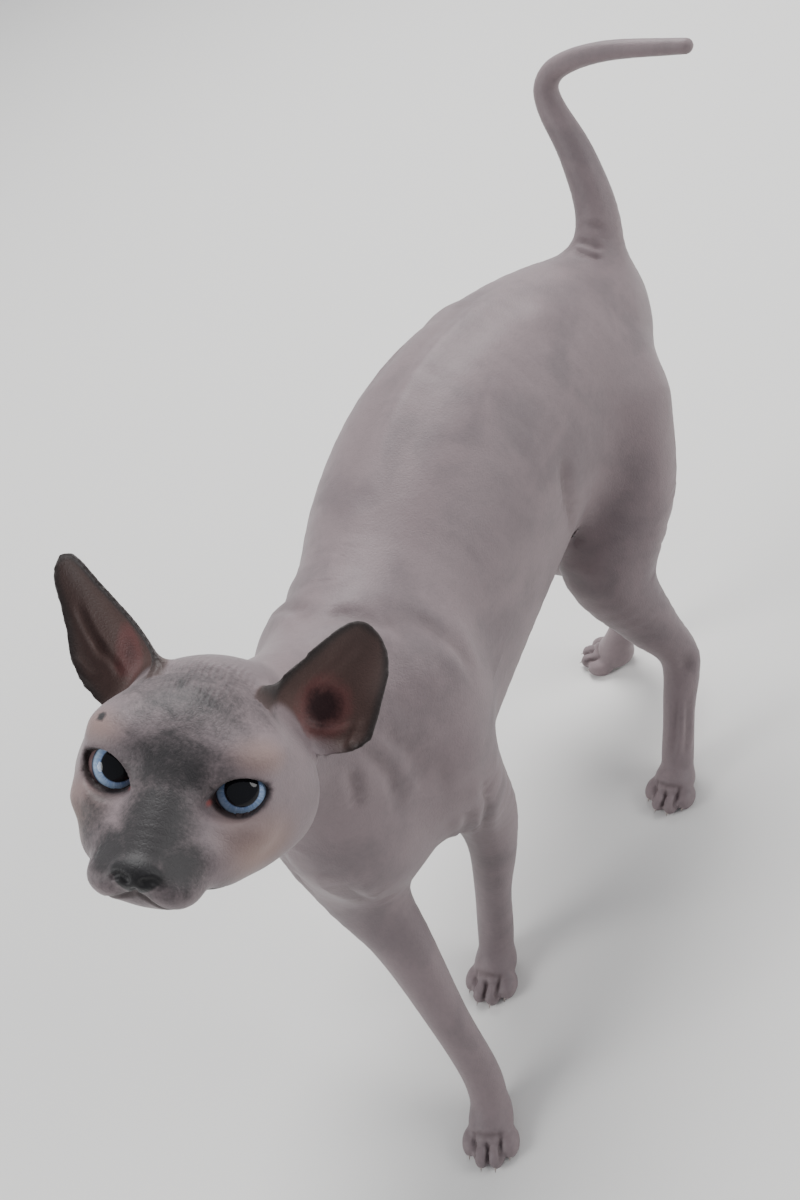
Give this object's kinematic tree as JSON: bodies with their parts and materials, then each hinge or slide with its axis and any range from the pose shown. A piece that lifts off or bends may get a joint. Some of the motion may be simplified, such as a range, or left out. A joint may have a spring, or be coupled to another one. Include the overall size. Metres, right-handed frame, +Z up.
{
  "type": "sphynx cat",
  "caption": "Life-size standing sphynx cat with bare wrinkled skin, one forepaw reached forward, head turned up, tail raised and bent at its end.",
  "frame": {"origin": "centre of the cat's box, at the floor that its paws stand on", "axes": "-Y is the way the cat walks, +X is its left side, +Z is up"},
  "size_m": [0.1507, 0.4637, 0.3555],
  "materials": {
    "skin": "matte bare skin with a fine down",
    "ear_skin": "matte thin skin, dark at the rim",
    "eye": "wet, clear and glossy"
  },
  "bodies": {
    "root": {"head": "skin", "neck": "skin", "chest": "skin", "abdomen": "skin", "tail_root": "skin", "tail_middle": "skin", "tail_tip": "skin", "foreleg_left": "skin", "foreleg_right": "skin", "forepaw_left": "skin", "forepaw_right": "skin", "thigh_left": "skin", "thigh_right": "skin", "shank_left": "skin", "shank_right": "skin", "hindfoot_left": "skin", "hindfoot_right": "skin", "ear_left": "ear_skin", "ear_right": "ear_skin", "eye_left": "eye", "eye_right": "eye"}
  },
  "joints": []
}
